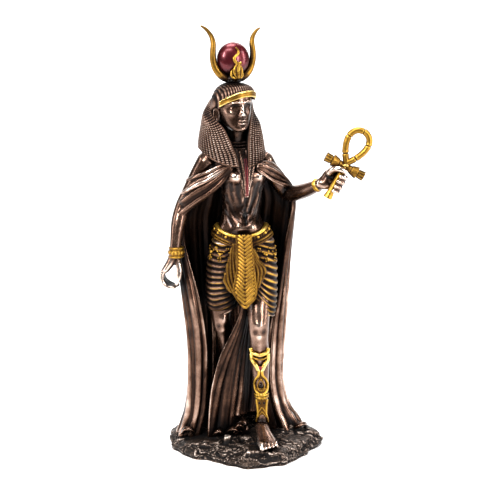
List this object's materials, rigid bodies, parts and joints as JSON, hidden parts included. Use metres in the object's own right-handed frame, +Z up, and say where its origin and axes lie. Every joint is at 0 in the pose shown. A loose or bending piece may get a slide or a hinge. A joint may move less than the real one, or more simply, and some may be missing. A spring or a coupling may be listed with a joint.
{
  "type": "egyptian goddess figurine",
  "caption": "Standing figurine of an Egyptian cow-horned goddess in a long cloak, holding an ankh, on a rock base",
  "frame": {"origin": "centre of the base's underside, below the figure", "axes": "+Z up the figure, -Y towards the viewer, +X to the viewer's right"},
  "size_m": [0.1363, 0.09, 0.2801],
  "materials": {
    "bronze": "antiqued dark bronze, highlights rubbed bright",
    "gilt": "bright gold paint with a dark wash in the recesses"
  },
  "bodies": {
    "root": {"figure": "bronze", "sun_crown": "gilt", "ankh": "gilt"}
  },
  "joints": []
}
